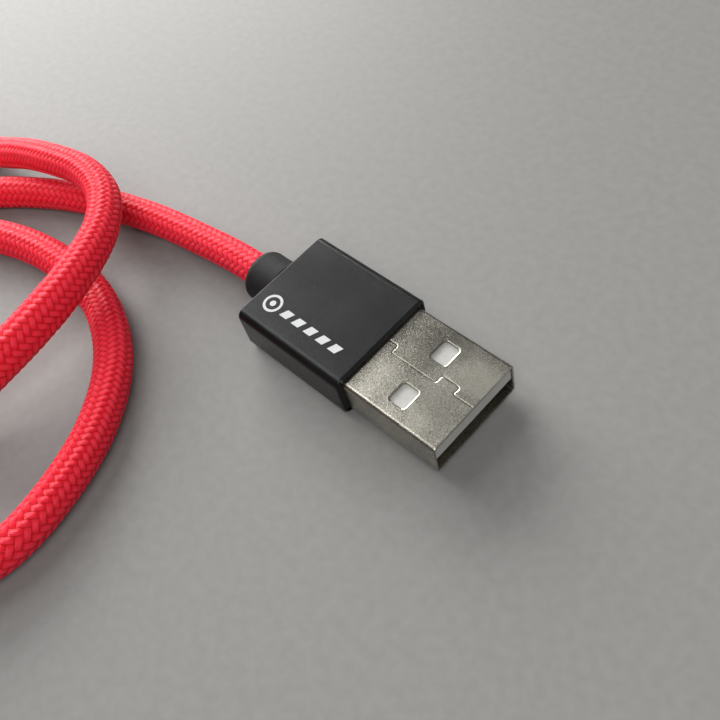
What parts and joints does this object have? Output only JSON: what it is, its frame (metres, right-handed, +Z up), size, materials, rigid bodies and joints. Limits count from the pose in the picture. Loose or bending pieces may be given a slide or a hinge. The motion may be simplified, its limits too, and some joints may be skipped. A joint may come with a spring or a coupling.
{
  "type": "charging cable",
  "caption": "Braided charging cable with a slim metal-sleeved USB-A plug, round rubber strain reliefs and a sprung Micro-B plug, its spare length in a strapped coil.",
  "frame": {"origin": "centre of the bottom of the USB-A plug's bounding box (sleeve, shell and strain relief), on the surface that it lies on", "axes": "+X out of the mouth of the USB-A plug, +Z up with the plug's seam and windows uppermost, +Y to the plug's left seen from behind"},
  "size_m": [0.1514, 0.069, 0.0147],
  "materials": {
    "sleeve_metal": "satin dark grey anodised, fine bead-blasted grain",
    "black_plastic": "matte moulded black",
    "soft_black": "matte soft black elastomer",
    "tinned_steel": "thin tinned strip",
    "nickel_steel": "satin nickel plate with a fine pebbled grain",
    "white_plastic": "matte moulded white",
    "gold_contact": "thin gold plate over brass",
    "red_insulation": "smooth insulation",
    "white_insulation": "smooth insulation",
    "green_insulation": "smooth insulation",
    "black_insulation": "smooth insulation",
    "red_braid": "tight nylon braid with a soft sheen",
    "strap_cloth": "black hook and loop strap",
    "spring_steel": "bright spring steel"
  },
  "bodies": {
    "root": {"sleeve": "sleeve_metal", "inner_mould": "black_plastic", "strain_relief": "soft_black", "cable_clamp": "tinned_steel", "shell": "nickel_steel", "insulator": "white_plastic", "vbus_contact": "gold_contact", "data_minus_contact": "gold_contact", "data_plus_contact": "gold_contact", "ground_contact": "gold_contact", "red_wire": "red_insulation", "white_wire": "white_insulation", "green_wire": "green_insulation", "black_wire": "black_insulation", "cable": "red_braid", "coiled_cable": "red_braid", "coil_strap": "strap_cloth", "cable_tail": "red_braid", "micro_sleeve": "sleeve_metal", "micro_inner_mould": "black_plastic", "micro_strain_relief": "soft_black", "micro_cable_clamp": "tinned_steel", "micro_shell": "nickel_steel", "micro_insulator": "black_plastic", "micro_contacts": "gold_contact", "micro_red_wire": "red_insulation", "micro_white_wire": "white_insulation", "micro_green_wire": "green_insulation", "micro_black_wire": "black_insulation"},
    "latch_left": {"micro_latch_left": "spring_steel"},
    "latch_right": {"micro_latch_right": "spring_steel"}
  },
  "joints": [
    {"name": "latch_left_press", "type": "hinge", "parent": "root", "child": "latch_left", "pos_m": [-0.1, -0.05475, 0.01115], "axis": [0, -1, 0], "range_deg": [0, 2.6], "stiffness_Nm_per_rad": 0.02},
    {"name": "latch_right_press", "type": "hinge", "parent": "root", "child": "latch_right", "pos_m": [-0.1, -0.05925, 0.01115], "axis": [0, -1, 0], "range_deg": [0, 2.6], "stiffness_Nm_per_rad": 0.02}
  ]
}
